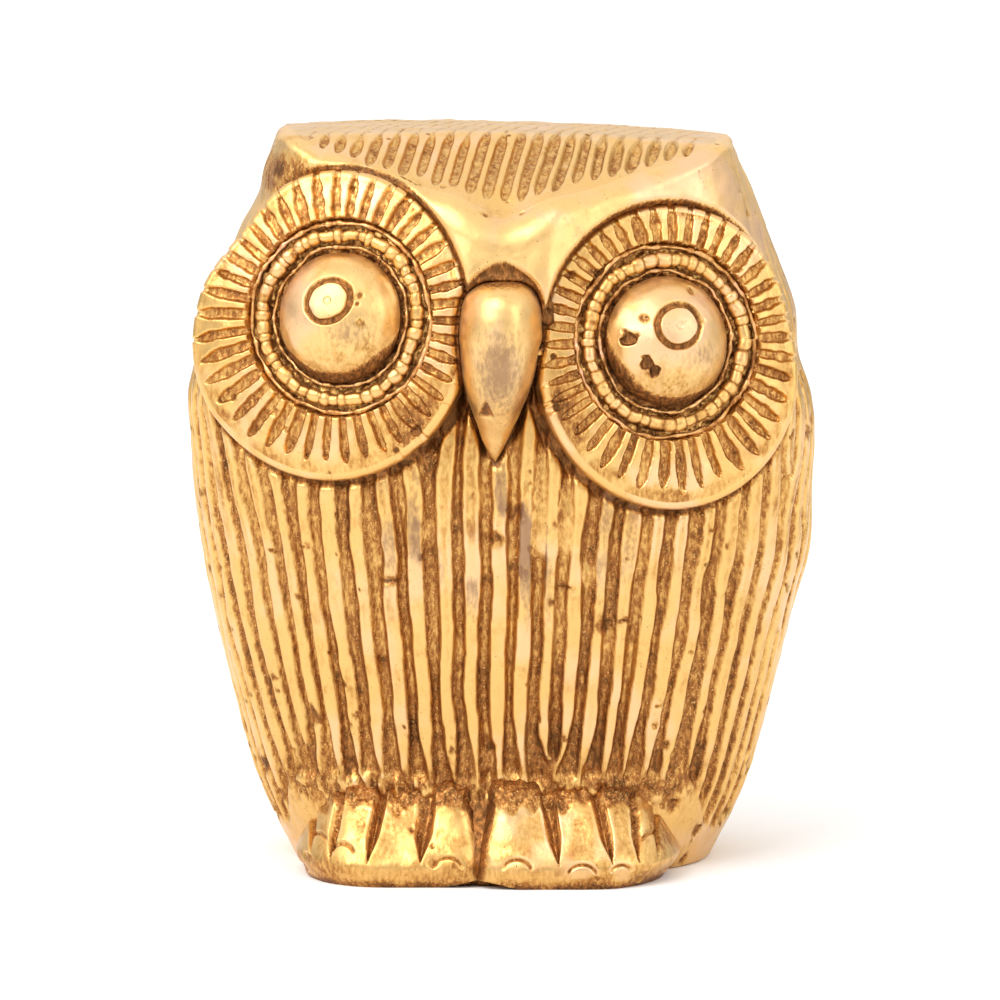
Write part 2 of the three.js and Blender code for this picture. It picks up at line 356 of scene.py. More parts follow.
def tuck(grid, tarnish_and_painted_light, depth=1.6, crease=0.5):
    """Sinks a surface under the face discs, with a crease along their outlines darkened by painted
    shade.
    """
    for face in FACES.values():
        local = face.local(grid)
        share = face.share(local)
        near = (local[..., 2] > -9) & (share < 1.25)
        under = step(1.012, 0.985, share) * near
        sunk = np.minimum(local[..., 2], -depth)
        edge = bell((share - 1.015) * 15, 0.36) * near
        local[..., 2] = mix(local[..., 2], sunk, under) - crease * edge * (1 - under)
        grid = np.where(near[..., None], face.world(local), grid)
        # painted shade: the crease and the sunk surface are darkened
        tarnish_and_painted_light = np.maximum(tarnish_and_painted_light, step(0.1, 0.85, edge + under))
    return grid, tarnish_and_painted_light


# ---- The body's form ----

SIDE_Z = [0, 7, 18, 31, 44, 55, 65, 72, 76]
SIDE_WIDTH = [21.6, 25.0, 28.2, 31.0, 32.2, 30.9, 27.4, 24.8, 23.4]
BODY_SQUARENESS, HEAD_SQUARENESS = 2.4, 3.8
HEAD_FROM, HEAD_FULL = 30, 58
GIRTH = 187.0  # round the widest part


def half_width(z):
    return through(SIDE_Z, SIDE_WIDTH, z) * HALF_WIDTH / max(SIDE_WIDTH)


def settle(grid):
    """The casting is uneven: each side swells and draws in a little at heights of its own."""
    x, z = grid[..., 0], grid[..., 2]
    right = 0.6 * bell(z - 49, 3.5) - 0.8 * bell(z - 69.3, 2.6)
    left = 0.7 * bell(z - 32.6, 4.5) - 0.9 * bell(z - 53, 3.2)
    moved = grid.copy()
    moved[..., 0] += left * step(18, 28, x) - right * step(-18, -28, x)
    return moved


def squareness(z):
    return mix(BODY_SQUARENESS, HEAD_SQUARENESS, step(HEAD_FROM, HEAD_FULL, z))


def plan_table(power):
    """Share of the girth from the front centre, against the angle of the superellipse."""
    angle = np.linspace(FRONT, BACK, 1601)
    c, s = np.cos(angle), np.sin(angle)
    x = np.abs(c) ** (2 / power)
    y = DEPTH_SHARE * np.sign(s) * np.abs(s) ** (2 / power)
    length = np.concatenate([[0], np.cumsum(np.hypot(np.diff(x), np.diff(y)))])
    return length / length[-1] / 2, x, y


def barrel(turn, heights):
    """Points of the plain body: turn is the share of the girth from the front, + to the left."""
    grid = np.empty((len(heights), len(turn), 3))
    for row, z in zip(grid, heights):
        share, x, y = plan_table(squareness(z))
        width = half_width(z)
        row[:, 0] = np.sign(turn) * np.interp(np.abs(turn), share, x) * width
        row[:, 1] = np.interp(np.abs(turn), share, y) * width
        row[:, 2] = z
    return grid


head_share, head_x, head_y = plan_table(HEAD_SQUARENESS)
head_angle = np.arctan2(head_y, head_x)


def turn_of(x, y):
    """Share of the girth of a point on the head's squarer plan."""
    return np.sign(x) * np.interp(np.arctan2(y, np.abs(x)), head_angle, head_share)


# ---- Feather grooves ----

FEATHERS = 69
fork_draw = np.random.default_rng(5)
FRONT_REACH = 36  # forks stay near the ends of the grooves across the front


def fork_height(s, low, high):
    """Where a groove forks: anywhere at the sides, but only near its ends in front."""
    ends = fork_draw.choice([fork_draw.uniform(10.5, 14), fork_draw.uniform(41, 47)])
    free = fork_draw.uniform(low, high)
    return ends if abs(s) < FRONT_REACH else free


MERGES = []
for s in np.linspace(-84, 84, 10):
    MERGES.append((s + fork_draw.uniform(-4, 4), fork_height(s, 16, 44), -1))
FORKS = []
for s in np.linspace(-80, 72, 9):
    near = s + fork_draw.uniform(-6, 6)
    low = fork_draw.uniform(14, 36)
    if abs(near) > FRONT_REACH:
        FORKS.append((near, low, 1))
        FORKS.append((near + 1.2, low + fork_draw.uniform(9, 18), -1))


def feather_phase(turn, z):
    """Counts the grooves round the body; a whole number is the middle of a groove."""
    s = turn * GIRTH
    phase = FEATHERS * turn + 0.2 * noise(11, s / 9, z / 16) + 0.07 * noise(12, s / 3, z / 5)
    for s0, z0, sign in MERGES + FORKS:
        swirl = np.sin(math.pi * ((s - s0) + 1j * (z - z0)) / GIRTH)
        phase = phase + sign * np.angle(swirl) / CIRCLE
    return phase


def feathers(turn, z):
    """Height and tarnish of the grooved surface at a place on the body, with painted highlights along
    the ridges' edges.
    """
    s = turn * GIRTH
    front = step(52, 36, np.abs(s)) * (1 - step(46, 60, z) * step(24, 32, np.abs(s)))
    phase = feather_phase(turn, z)
    aside = phase - np.round(phase)
    apart = np.abs(aside)
    floor_z = mix(4.5, 10.6, step(34, 25, np.abs(s + 2))) + 0.5 * noise(13, s / 1.7)
    half = mix(0.13, 0.26, front) + 0.07 * noise(14, s / 2.6, z / 12)
    half = half + 0.045 * noise(15, s / 1.1, z / 2.2) + 0.18 * step(floor_z + 7, floor_z, z) * front
    half = half - 0.07 * step(50, 66, z) * (1 - front)
    alive = step(floor_z - 0.7, floor_z + 0.5, z)
    section = np.clip(1 - (apart / np.maximum(half, 0.03)) ** 2.4, 0, 1) ** 0.75
    cut = step(half + 0.03, half - 0.05, apart) * alive
    filled = step(0.25, 0.6, noise(16, s / 3, z / 4)) * bell(s - 2, 14) * bell(z - 35, 8)
    deep = mix(0.3, 0.75, front) * (1 + 0.22 * noise(17, s / 3, z / 9)) * (1 - 0.7 * filled)
    deep = deep * mix(1, 0.55, step(52, 66, z) * (1 - front)) * alive
    crown = (0.5 - apart) / np.maximum(0.5 - half, 0.05)
    grain = rough(18, 2, s / 0.5, z / 0.7)
    height = -deep * section - 0.13 * np.clip(crown, 0, 1) ** 3 * alive + 0.06 * grain * cut
    height = height + 0.08 * noise(21, s / 2.2, z / 5) + 0.04 * noise(28, s / 0.9, z / 1.4)
    uneven = 0.16 * noise(22, s / 1.3, z / 5) + 0.12 * noise(23, s / 0.4, z / 3)
    slanted = 0.3 * aside / np.maximum(half, 0.1) * noise(26, s / 5, z / 12)
    stain = 0.6 + uneven + slanted + 0.15 * step(26, 9, z)
    # painted highlight: pale lines along the ridges' edges, given as negative tarnish
    edge = bell(apart - half - 0.05, 0.05) * alive * (1 - filled)
    film = np.clip(0.14 + 0.16 * noise(29, s / 4, z / 7), 0, 1) * step(26, 40, z) * front
    film = film + 0.12 * step(0.1, 0.7, noise(30, s / 1.4, z / 4))
    tarnish_and_painted_light = cut * stain * mix(0.65, 1, front) * (1 - 0.6 * filled)
    return height, tarnish_and_painted_light + (film - 0.8 * edge) * (1 - cut)


def handled(turn, z):
    """Where the gilt has worn off the breast's ridges and grey metal shows."""
    s = turn * GIRTH
    phase = feather_phase(turn, z)
    on_ridge = step(0.24, 0.3, np.abs(phase - np.round(phase)))
    patch = step(-0.3, 0.35, rough(27, 2, s / 3.2, z / 7)) * bell(s + 1, 14) * bell(z - 35.5, 8)
    return on_ridge * patch


def crust(turn, z):
    """The granular band above the feet."""
    s = turn * GIRTH
    there = step(30, 26, np.abs(s + 2)) * bell(z - 9.4, 2.0)
    lumps = rough(24, 2, s / 0.9, z / 0.9)
    return there * (-0.2 + 0.35 * lumps), there * (0.8 - 0.75 * step(0.1, 0.8, lumps))


# each nick's place round the body and up, its length and its thickness
NICKS = [(-11.8, 31.2, 2.0, 0.3), (6.5, 30.5, 1.2, 0.18), (13, 27, 1.0, 0.2)]


def scars(turn, z):
    """Pits and nicks in the casting."""
    s = turn * GIRTH
    s_bent, z_bent = s + 0.35 * noise(33, s / 0.7, z / 0.7), z + 0.35 * noise(34, s / 0.7, z / 0.7)
    depth = pits(31, 3.1, 0.04, s_bent, z_bent) * 0.25 + pits(35, 1.1, 0.05, s_bent, z_bent) * 0.2
    for s0, z0, long, thick in NICKS:
        depth = depth + 0.5 * bell((s - s0) / long, 1) ** 2 * bell((z - z0) / thick, 1)
    return depth


CAVITY_TOP = 59


def cavity_rows(count, columns):
    """The rim round the open base and the hollow above it, from the base up to its top."""
    knots = [-0.001, 0.5, 9, 22, 32, 44, 52, 57.5, CAVITY_TOP]
    widths = [17.2, 17.2, 21.4, 25.4, 26.6, 23.5, 17.5, 9, 1.2]
    heights = np.linspace(0, 1, count) * CAVITY_TOP
    radius = through(knots, widths, heights)
    angle = FRONT + CIRCLE * columns
    x = radius[:, None] * np.cos(angle)
    y = radius[:, None] * np.sin(angle) * 0.78 + 0.8
    z = np.broadcast_to(heights[:, None], x.shape)
    grid = np.stack([x, y, z], -1)
    grid[1:-1] += normals(grid)[1:-1] * (0.25 * rough(41, 2, x / 3, y / 3, z / 3))[1:-1, :, None]
    return grid


FEET_MIDDLE = -2.1  # the groove between the feet stands a little to the owl's right


def fill_between_feet(grid, tarnish_and_painted_light):
    """Brings the body forward between the feet as the floor of their groove, painted dark as shade."""
    x, y, z = np.moveaxis(grid, -1, 0)
    between = step(3.6, 2.2, np.abs(x - FEET_MIDDLE)) * (y < -10)
    moved = grid.copy()
    moved[..., 1] -= 5.6 * between * step(9.8, 1.2, z)
    # painted shade darkens the floor between the feet
    return moved, np.maximum(tarnish_and_painted_light, 0.95 * between * step(9.5, 8, z))


def past_seam(row, rise):
    """A row carried on past the seam of body and crown, just inside the other's wall."""
    share = (half_width(SEAM + rise) - 0.12) / half_width(SEAM)
    return row * [share, share, 1] + [0, 0, rise]


def girth_columns(front_count, back_count):
    """Turns of the body's columns, closer together across the front."""
    front = np.linspace(-0.27, 0.27, front_count, endpoint=False)
    back = np.linspace(0.27, 0.73, back_count, endpoint=False)
    return (np.concatenate([front, back]) + 0.5) % 1 - 0.5


def make_body():
    turn = girth_columns(650, 200)
    heights = np.concatenate([np.linspace(SEAM, 0.6, 204), [0.35, 0.12, 0.0]])
    plain = barrel(turn, heights)
    plain[-1] = plain[-1] * [0.985, 0.985, 1]
    plain[-2] = plain[-2] * [0.995, 0.995, 1]
    t, z = np.broadcast_arrays(turn[None, :], heights[:, None])
    height, tarnish_and_painted_light = feathers(t, z)
    crust_height, crust_tarnish = crust(t, z)
    pit = scars(t, z)
    height = (height + crust_height) * step(0, 1.2, z) - pit
    tarnish_and_painted_light = most(tarnish_and_painted_light, crust_tarnish, np.minimum(1, 3.5 * pit))
    worked = settle(raised(plain, height))
    worked, tarnish_and_painted_light = fill_between_feet(worked, tarnish_and_painted_light)
    worked, tarnish_and_painted_light = tuck(worked, tarnish_and_painted_light)
    worked, tarnish_and_painted_light = tuck_beak(worked, tarnish_and_painted_light, -24.0)
    above = past_seam(worked[0], 0.6)
    top = np.stack([above * [0.6, 0.6, 1], above])
    hollow = cavity_rows(24, turn)
    grid = np.concatenate([top, worked, hollow])
    blank = np.zeros(top.shape[:2])
    shade = np.concatenate([blank, tarnish_and_painted_light, np.full(hollow.shape[:2], 0.8)])
    grey = np.concatenate([blank, handled(t, z), np.zeros(hollow.shape[:2])])
    finish_piece(skin("owl_body", grid, shade, grey), "body_shell", "feather_brass")


# ---- Head: flat crown, grooved forehead and the brow that runs down to the beak ----

NOSE, NOSE_SLOPE = 29.0, 0.47  # the brow's plan: its tip, and how far it falls back sideways
FOREHEAD_Y, FOREHEAD_V = -11.8, 0.2  # where the flat crown turns down, further forward at the ears
FOREHEAD_SLOPE = 0.5
GROOVE_PITCH, GROOVE_LEAN = 1.75, 0.16
BROW_ARC = (math.radians(-166), math.radians(-14))
BROW_BAND = (1.5, 3.0)  # width of the smooth band along the brow, at the ears and at the nose
BROW_THICKNESS = 1.2
BROW_COLUMNS, CROWN_ROWS = 420, 150


def ahead_of_fold(x, y):
    """How far a point lies in front of the line where the crown turns down."""
    return FOREHEAD_Y - FOREHEAD_V * np.abs(x) - y


def head_reach(angle, z):
    """Distance from the axis to the head's wall in a direction, at a height."""
    c, s = np.cos(angle), np.sin(angle)
    width = half_width(z)
    rounded = (np.abs(c / width) ** HEAD_SQUARENESS
               + np.abs(s / width / DEPTH_SHARE) ** HEAD_SQUARENESS) ** (-1 / HEAD_SQUARENESS)
    side = width / np.maximum(np.abs(c), 1e-3)
    slant = np.sqrt(c * c + 0.006) - math.sqrt(0.006)
    nose = (NOSE + 0.1 * (70 - z)) / np.maximum(NOSE_SLOPE * slant - s, 1e-2)
    wedge = (side**-9 + nose**-9) ** (-1 / 9)
    kept = mix(1, step(58, 68, z), step(0.5, 0.8, np.abs(c)))
    return np.where(s < 0, mix(rounded, wedge, kept * step(0, -0.2, s)), rounded)


def crown_height(x, y):
    """The top of the head: a nearly flat crown, and a forehead that falls to the brow."""
    ahead = ahead_of_fold(x, y)
    fall = FOREHEAD_SLOPE * (ahead + np.sqrt(ahead**2 + 1.2)) / 2
    return HEIGHT - fall - 0.0012 * (x + 9) ** 2 - 0.0006 * np.maximum(y + 5, 0) ** 2


def forehead_grooves(x, y, inside):
    """Cut depth and tarnish of the gouged forehead; inside is the distance in from the wall."""
    phase = (x - GROOVE_LEAN * (y + 24)) / GROOVE_PITCH + 0.12 * noise(51, x / 5, y / 8)
    k = np.round(phase)
    apart = np.abs(phase - k)
    start = mix(*BROW_BAND, step(19, 5, np.abs(x))) + 0.9 * chance(52, k)
    on_flat = step(-1.6, 1.6, 1.5 * chance(53, k) - ahead_of_fold(x, y))
    room = np.minimum(inside - start, y + 24.4 - 0.8 * chance(57, k))
    half = (0.27 + 0.07 * chance(54, k)) * step(0, 2.2, room + 0.6)
    half = half * mix(1, 0.3, on_flat) + 0.02 * noise(55, x, y / 2)
    cut = step(half + 0.06, half - 0.08, apart) * step(0, 0.5, room)
    edge = step(0.6, 1.6, inside) * step(22.4, 21, np.abs(x))
    deep = mix(0.62, 0.16, on_flat)
    grain = rough(56, 2, x / 0.6, y / 0.6)
    stain = 0.4 + 0.2 * noise(58, x / 0.8, y / 2) + 0.12 * grain
    stain = stain * step(-0.4, 1.4, room)
    return cut * edge * (deep + 0.06 * grain), cut * edge * stain * mix(1, 0.7, on_flat)


def head_grid():
    """The head's surface from the crown's middle out, over its edge and down its walls."""
    dense = np.linspace(BROW_ARC[0], BROW_ARC[1], BROW_COLUMNS, endpoint=False)
    spare = np.linspace(BROW_ARC[1], BROW_ARC[0] + CIRCLE, 260, endpoint=False)
    angle = np.concatenate([dense, spare])
    ahead = step(0.25, -0.15, np.sin(angle))
    c, s = np.cos(angle), np.sin(angle)
    reach = head_reach(angle, 74.0 + 0 * angle)
    edge_z = crown_height(reach * c, reach * s)
    reach = head_reach(angle, edge_z)
    corner = bell(np.abs(c) - 0.78, 0.14)
    roll = mix(0.7, mix(1.9, 0.9, corner), ahead) + 2.4 * bell(reach * c, 6.0) * ahead
    # the rounded edge takes up the slope of the crown where it begins
    r = reach - roll
    drop = crown_height(0.99 * r * c, 0.99 * r * s) - crown_height(r * c, r * s)
    lean = np.arctan(drop / 0.01 / r)
    crown_reach = reach - roll * (1 - np.sin(lean))
    low = mix(SEAM, 55.0, step(-0.3, -0.5, s))
    rows = []
    for share in np.linspace(0.02, 1, CROWN_ROWS) ** 0.9:
        r = share * crown_reach
        x, y = r * c, r * s
        rows.append(np.stack([x, y, crown_height(x, y)], -1))
    brim = rows[-1][:, 2]
    for t in np.linspace(0, 1, 15)[1:]:
        bend = mix(lean, BACK, t)
        r = crown_reach + roll * (np.sin(bend) - np.sin(lean))
        rows.append(np.stack([r * c, r * s, brim - roll * (np.cos(lean) - np.cos(bend))], -1))
    edge_z = brim - roll * np.cos(lean)
    for down in np.linspace(0, 1, 56)[1:]:
        z = mix(edge_z, low, down)
        r = head_reach(angle, z) + (reach - head_reach(angle, edge_z)) * (1 - down) ** 4
        rows.append(np.stack([r * c, r * s, z], -1))
    return np.array(rows), angle, reach


def make_head():
    plain, angle, reach = head_grid()
    x, y, z = np.moveaxis(plain, -1, 0)
    r = np.hypot(x, y)
    inside = np.where(np.arange(len(plain))[:, None] < CROWN_ROWS, reach[None, :] - r, 0)
    top = step(0.4, 1.2, inside)
    cut, tarnish_and_painted_light = forehead_grooves(x, y, inside)
    s = np.sin(angle)[None, :]
    wall = (1 - top) * step(-0.62, -0.3, s)
    # the feather layer brings painted highlights along the ridges' edges as well as tarnish
    height, wall_tarnish_and_highlight = feathers(turn_of(x, y), z)
    # the brow's two bands stand over the forehead and a shallow valley parts them at the nose
    ahead = step(-0.1, -0.3, s)
    bridge = step(-21.5, -25.5, y) * step(-0.6, -0.8, s)
    aside = np.abs(x - 0.3) - mix(5.0, 4.1, step(70, 62, z))
    lip = 0.06 * bell(inside - 1.5, 1.2) * ahead * top + 0.25 * bell(aside, 1.5) * bridge
    valley = 0.9 * bell(x - 0.3, 2.8) * bridge
    swell = 0.08 * noise(61, x / 3, y / 3, z / 3) + 0.03 * noise(62, x / 1.1, y / 1.1, z / 1.1)
    swell = swell * np.maximum(step(SEAM, SEAM + 3, z), step(-0.3, -0.5, s))
    pit = 0.12 * pits(63, 1.1, 0.05, x, y, z)
    shift = height * wall + lip - cut * top - valley + swell - pit
    shade = most(tarnish_and_painted_light * top, wall_tarnish_and_highlight * wall * 0.8, np.minimum(1, 3.5 * pit))
    # the wall is darker under the ear corner, and dark specks lie in the crease along the crown's edge
    darker_under_corner = bell(x + 22.3, 3.0) * bell(z - 71.8, 2.3) * (1 - top) * (y < -6)
    darker_under_corner = darker_under_corner * (0.75 + 0.5 * noise(65, x / 1.2, z / 0.8))
    specks = pits(66, 1.0, 0.1, x, y) * bell(ahead_of_fold(x, y), 2.2) * top
    shade = most(shade, np.minimum(1, np.maximum(darker_under_corner, specks)))
    worked = settle(raised(plain, shift))
    worked, shade = tuck(worked, shade)
    worked, shade = tuck_beak(worked, shade, -25.0)
    # the brow is a plate of its own over the crown, which sinks a little under it
    first = int(np.argmax((inside < BROW_BAND[1] + 0.6).all(1)))
    under = np.zeros(shade.shape)
    under[first + 3:, 3:BROW_COLUMNS - 3] = 1
    brow = worked[first:, :BROW_COLUMNS]
    rim = np.minimum(*np.ogrid[: len(brow), :BROW_COLUMNS])
    rim = np.minimum(rim, np.arange(BROW_COLUMNS)[::-1])
    lift = np.select([rim == 0, rim == 1], [-0.15, -0.05], 0.015)
    piece = plate("owl_brow", brow + lift[..., None] * normals(brow, wrap=False),
                  shade[first:, :BROW_COLUMNS], BROW_THICKNESS)
    finish_piece(piece, "brow_ridge", "worn_brass")
    crown = raised(worked, -0.5 * under)
    below = past_seam(crown[-1], -0.6)
    inner = np.stack([below] + [below * [k, k, 1] for k in (0.8, 0.3)])
    grid = np.concatenate([crown, inner])
    piece = skin("owl_crown", grid, np.concatenate([shade, np.zeros(inner.shape[:2])]))
    finish_piece(piece, "crown_cap", "feather_brass")


# ---- Beak ----

beak_low, beak_high = node_box("beak")
BEAK_TIP, BEAK_TOP = beak_low[2], beak_high[2] - 1.5
BEAK_WIDTH = (beak_high[0] - beak_low[0]) / 2
BEAK_DEPTH = 6.2
BEAK_Y = beak_low[1] - AXIS[1] + BEAK_DEPTH
BEAK_WIDEST = BEAK_TIP + 12.6
ARCH_SQUARENESS = 3.2


def beak_width(z):
    """Half width of the beak at a height: an arch above its widest place, a taper below it."""
    rise = np.clip((z - BEAK_WIDEST) / (BEAK_TOP - BEAK_WIDEST), 0, 1)
    arch = (1 - rise**ARCH_SQUARENESS) ** (1 / ARCH_SQUARENESS)
    knots = BEAK_TIP + np.array([0, 1.2, 3.4, 8.2, 12.6])
    taper = through(knots, np.array([0, 0.18, 0.41, 0.83, 1]), z)
    return BEAK_WIDTH * np.where(z > BEAK_WIDEST, arch, taper * (z > BEAK_TIP))


def beak_middle(z):
    return -0.1 - 0.7 * step(BEAK_TOP, BEAK_TIP, z)


def tuck_beak(grid, tarnish_and_painted_light, back):
    """Sinks a surface behind the beak's outline, with a crease round it darkened by painted shade."""
    x, y, z = np.moveaxis(grid, -1, 0)
    off = np.abs(x - beak_middle(z))
    up = np.maximum(z - BEAK_WIDEST, 0)
    rise = up / (BEAK_TOP - BEAK_WIDEST)
    share = ((off / BEAK_WIDTH) ** ARCH_SQUARENESS + rise**ARCH_SQUARENESS) ** (1 / ARCH_SQUARENESS)
    above = (1 - 1 / np.maximum(share, 0.1)) * np.hypot(off, up)
    out = np.where(z > BEAK_WIDEST, above, np.maximum(off - beak_width(z), BEAK_TIP - z))
    near = (z > BEAK_TIP - 2) & (z < BEAK_TOP + 4) & (y < -15)
    out = np.where(near, out, 9)
    under = step(0.15, -0.4, out)
    crescent = 0.8 * bell(off, 2.3) * step(BEAK_TOP - 1.5, BEAK_TOP - 0.5, z)
    crease = bell(out - 0.2 - crescent, 0.36 + crescent)
    moved = grid.copy()
    moved[..., 1] = mix(y, np.maximum(y, back), under) + 0.5 * crease * (1 - under)
    # painted shade: the crease and the sunk surface are darkened
    return moved, np.maximum(tarnish_and_painted_light, step(0.3, 0.75, crease + under))


def make_beak():
    z = mix(BEAK_TOP, BEAK_TIP, (1 - np.cos(np.linspace(0, math.pi, 190))) / 2)
    z[0], z[-1] = z[0] - 0.02, z[-1] + 0.02
    angle = all_round(200)[None, :]
    width = beak_width(z)[:, None]
    middle_y = BEAK_Y + 1.5 * step(BEAK_TIP + 8, BEAK_TIP, z)[:, None]
    c, s = np.cos(angle), np.sin(angle)
    x = beak_middle(z)[:, None] + width * np.sign(c) * np.abs(c) ** 0.92
    y = middle_y + width * BEAK_DEPTH / BEAK_WIDTH * s * np.where(s > 0, 0.6, 1)
    grid = np.stack(np.broadcast_arrays(x, y, z[:, None]), -1)
    x, y, z = np.moveaxis(grid, -1, 0)
    wedge = np.maximum(np.abs(x + 1.7) / (0.1 + 0.45 * (49.9 - z)), np.abs(z - 49.1) / 0.75)
    pit = 0.3 * step(1.15, 0.7, wedge) * (z < 49.9) + 0.15 * pits(71, 1.3, 0.03, x, y, z)
    swell = 0.05 * noise(74, x / 2, y / 2, z / 2) + 0.02 * noise(75, x, y, z)
    # painted shade on the beak's back where it meets the body, and along its top under the brow
    behind, above = step(-26.5, -25, y), step(BEAK_TOP - 0.9, BEAK_TOP - 0.1, z)
    shade = most(0.8 * behind, 0.7 * above, np.minimum(1, 4 * pit))
    grey = 0.85 * bell(x + 0.4, 2.6) * bell(z - 53, 4.6) * (y < -27)
    finish_piece(skin("owl_beak", raised(grid, swell - pit), shade, grey), "beak", "worn_brass")


# ---- Face discs and eyes ----

EYE_RADIUS, EYE_RISE = 6.5, 4.2
BALL = (EYE_RADIUS**2 + EYE_RISE**2) / (2 * EYE_RISE)
CHANNEL = (6.2, 9.85)  # the sunk ring that holds the wires and beads
CHANNEL_DEPTH = 0.85
RAYS, BEADS = 42, 45
SMUDGES = {"right": (-0.86, 0.3), "left": (-2.6, 0.3)}  # where the rim is stained, and how wide
DISC_PITS = {
    "right": [(8.5, -11.0, 0.6, 0.4), (6.4, -13.0, 0.45, 0.3)],
    "left": [(-11.9, -6.3, 0.6, 0.4), (-12.1, -1.2, 0.4, 0.3)],
}
DISC_ROOT = 12.0  # how far back the disc's narrowing root reaches into the head


def disc_surface(face, r, angle, seed):
    """Height, and tarnish with painted shade and highlights, of the disc's front at polar places round
    the eye.
    """
    reach = face.reach(angle)
    share = r / reach
    dish = 0.55 * step(1.0, 0.62, share) - 0.35 * step(0.8, 1.02, share)
    channel = step(CHANNEL[1] + 0.25, CHANNEL[1] - 0.1, r)
    phase = RAYS * angle / CIRCLE + 0.16 * noise(seed, r / 6, angle * 3)
    k = np.round(phase) % RAYS
    pitch = CIRCLE / RAYS * r
    apart = np.abs(phase - np.round(phase)) * pitch
    below = step(0.2, -0.9, np.sin(CIRCLE * k / RAYS))
    length = mix(0.92, 0.76, below) + 0.12 * (chance(seed + 1, k) - 0.5)
    start = CHANNEL[1] + 0.1
    along = (r - start) / (mix(start, reach, length) - start)
    taper = np.clip(1 - np.clip(along, 0, 1) ** 4, 0, 1) ** 0.7 * step(-0.03, 0.04, along)
    half = pitch * (0.29 + 0.08 * chance(seed + 2, k)) * taper + 1e-3
    half = half * (1 + 0.16 * noise(seed + 3, r * 1.2, k))
    gouge = np.clip(1.2 * (1 - (apart / half) ** 3), 0, 1) ** 0.8 * (along < 1)
    gouge = gouge * (taper > 0.02)
    x, y = r * np.cos(angle), r * np.sin(angle)
    grain = rough(seed + 4, 2, x / 0.6, y / 0.6)
    deep = (0.55 + 0.2 * chance(seed + 6, k)) * np.minimum(1, taper * 2)
    height = dish - gouge * (deep + 0.07 * grain)
    height = height + 0.06 * noise(seed + 7, x / 2, y / 2) + 0.03 * noise(seed + 15, x, y)
    floor = -CHANNEL_DEPTH + 0.18 * rough(seed + 8, 2, x / 0.7, y / 0.7)
    height = mix(height, floor, channel)
    pit = 0.2 * pits(seed + 10, 1.5, 0.05, x + 0.2 * grain, y)
    pit = np.maximum(pit, placed_pits(DISC_PITS[face.side], 0.4, seed + 16, x, y))
    at, wide = SMUDGES[face.side]
    smudge = bell(turned_from(angle, at), wide) * step(0.66, 0.86, share)
    smudge = smudge * (0.8 + 0.5 * noise(seed + 17, x / 1.2, y / 1.2))
    band = step(1.0, 0.75, along) * (1 - channel)
    rim = step(0.84, 0.93, share) * (0.18 + 0.16 * noise(seed + 12, x / 1.4, y / 1.4))
    # painted highlight: the lands between the gouges are made paler, and the noise adds darker stained
    # patches
    bright = -0.2 * band * (1 - gouge) + 0.22 * step(-0.2, 0.6, noise(seed + 14, x / 2.5, y / 2.5))
    floors = 0.56 + 0.16 * grain + 0.14 * noise(seed + 13, x / 1.5, y / 1.5)
    shade = np.where(gouge > 0.04, gouge * floors, bright + rim)
    # the channel floor is stained, and darkest next to the dome as painted shade
    channel_stain_and_shade = channel * (mix(0.9, 0.5, step(6.6, 7.3, r)) + 0.2 * grain)
    return height - pit, most(shade, channel_stain_and_shade, smudge, np.minimum(1, 3.5 * pit))


def make_disc(face, seed):
    angle = all_round(760)
    reach = face.reach(angle)
    rows = []
    for r in (0.5, 4.0, 5.6):
        rows.append((r + 0 * angle, -2.4 + 0 * angle, 0.9 + 0 * angle))
    edge, inner = 0.8, CHANNEL[1] + 0.3  # the rim's rounding, and where the rays begin
    for r in np.linspace(CHANNEL[0], inner, 38):
        rows.append((r + 0 * angle, *disc_surface(face, r + 0 * angle, angle, seed)))
    for t in np.linspace(0, 1, 54)[1:]:
        r = mix(inner, reach - edge, t)
        rows.append((r, *disc_surface(face, r, angle, seed)))
    brim, shade = rows[-1][1], rows[-1][2]
    for bend in np.linspace(0, BACK, 9)[1:]:
        sunk = brim - edge * (1 - math.cos(bend))
        rows.append((reach - edge + edge * math.sin(bend), sunk, shade * 0))
    # painted shade: the root behind the rim, going into the head, is darkened
    for t in np.linspace(0, 1, 16)[1:]:
        root = reach * (1 - 0.3 * t**1.5)
        rows.append((root, mix(brim - edge, -DISC_ROOT, t), 0.5 * step(0.05, 0.3, t) + 0 * reach))
    rows.append((reach * 0.4, -DISC_ROOT + 0 * angle, 1 + 0 * angle))
    r, w, shade = (np.array(part) for part in zip(*rows))
    grid = np.stack([r * np.cos(angle), r * np.sin(angle), w], -1)
    u, v = grid[..., 0], grid[..., 1]
    grid[..., 2] += (0.1 * noise(seed + 20, u / 4, v / 4)) * step(-3, -1, w)
    grid, shade = tuck_beak(face.world(grid), shade, -26.0)
    finish_piece(skin(f"owl_{face.side}_disc", grid, shade), f"{face.side}_face_disc", "feather_brass")


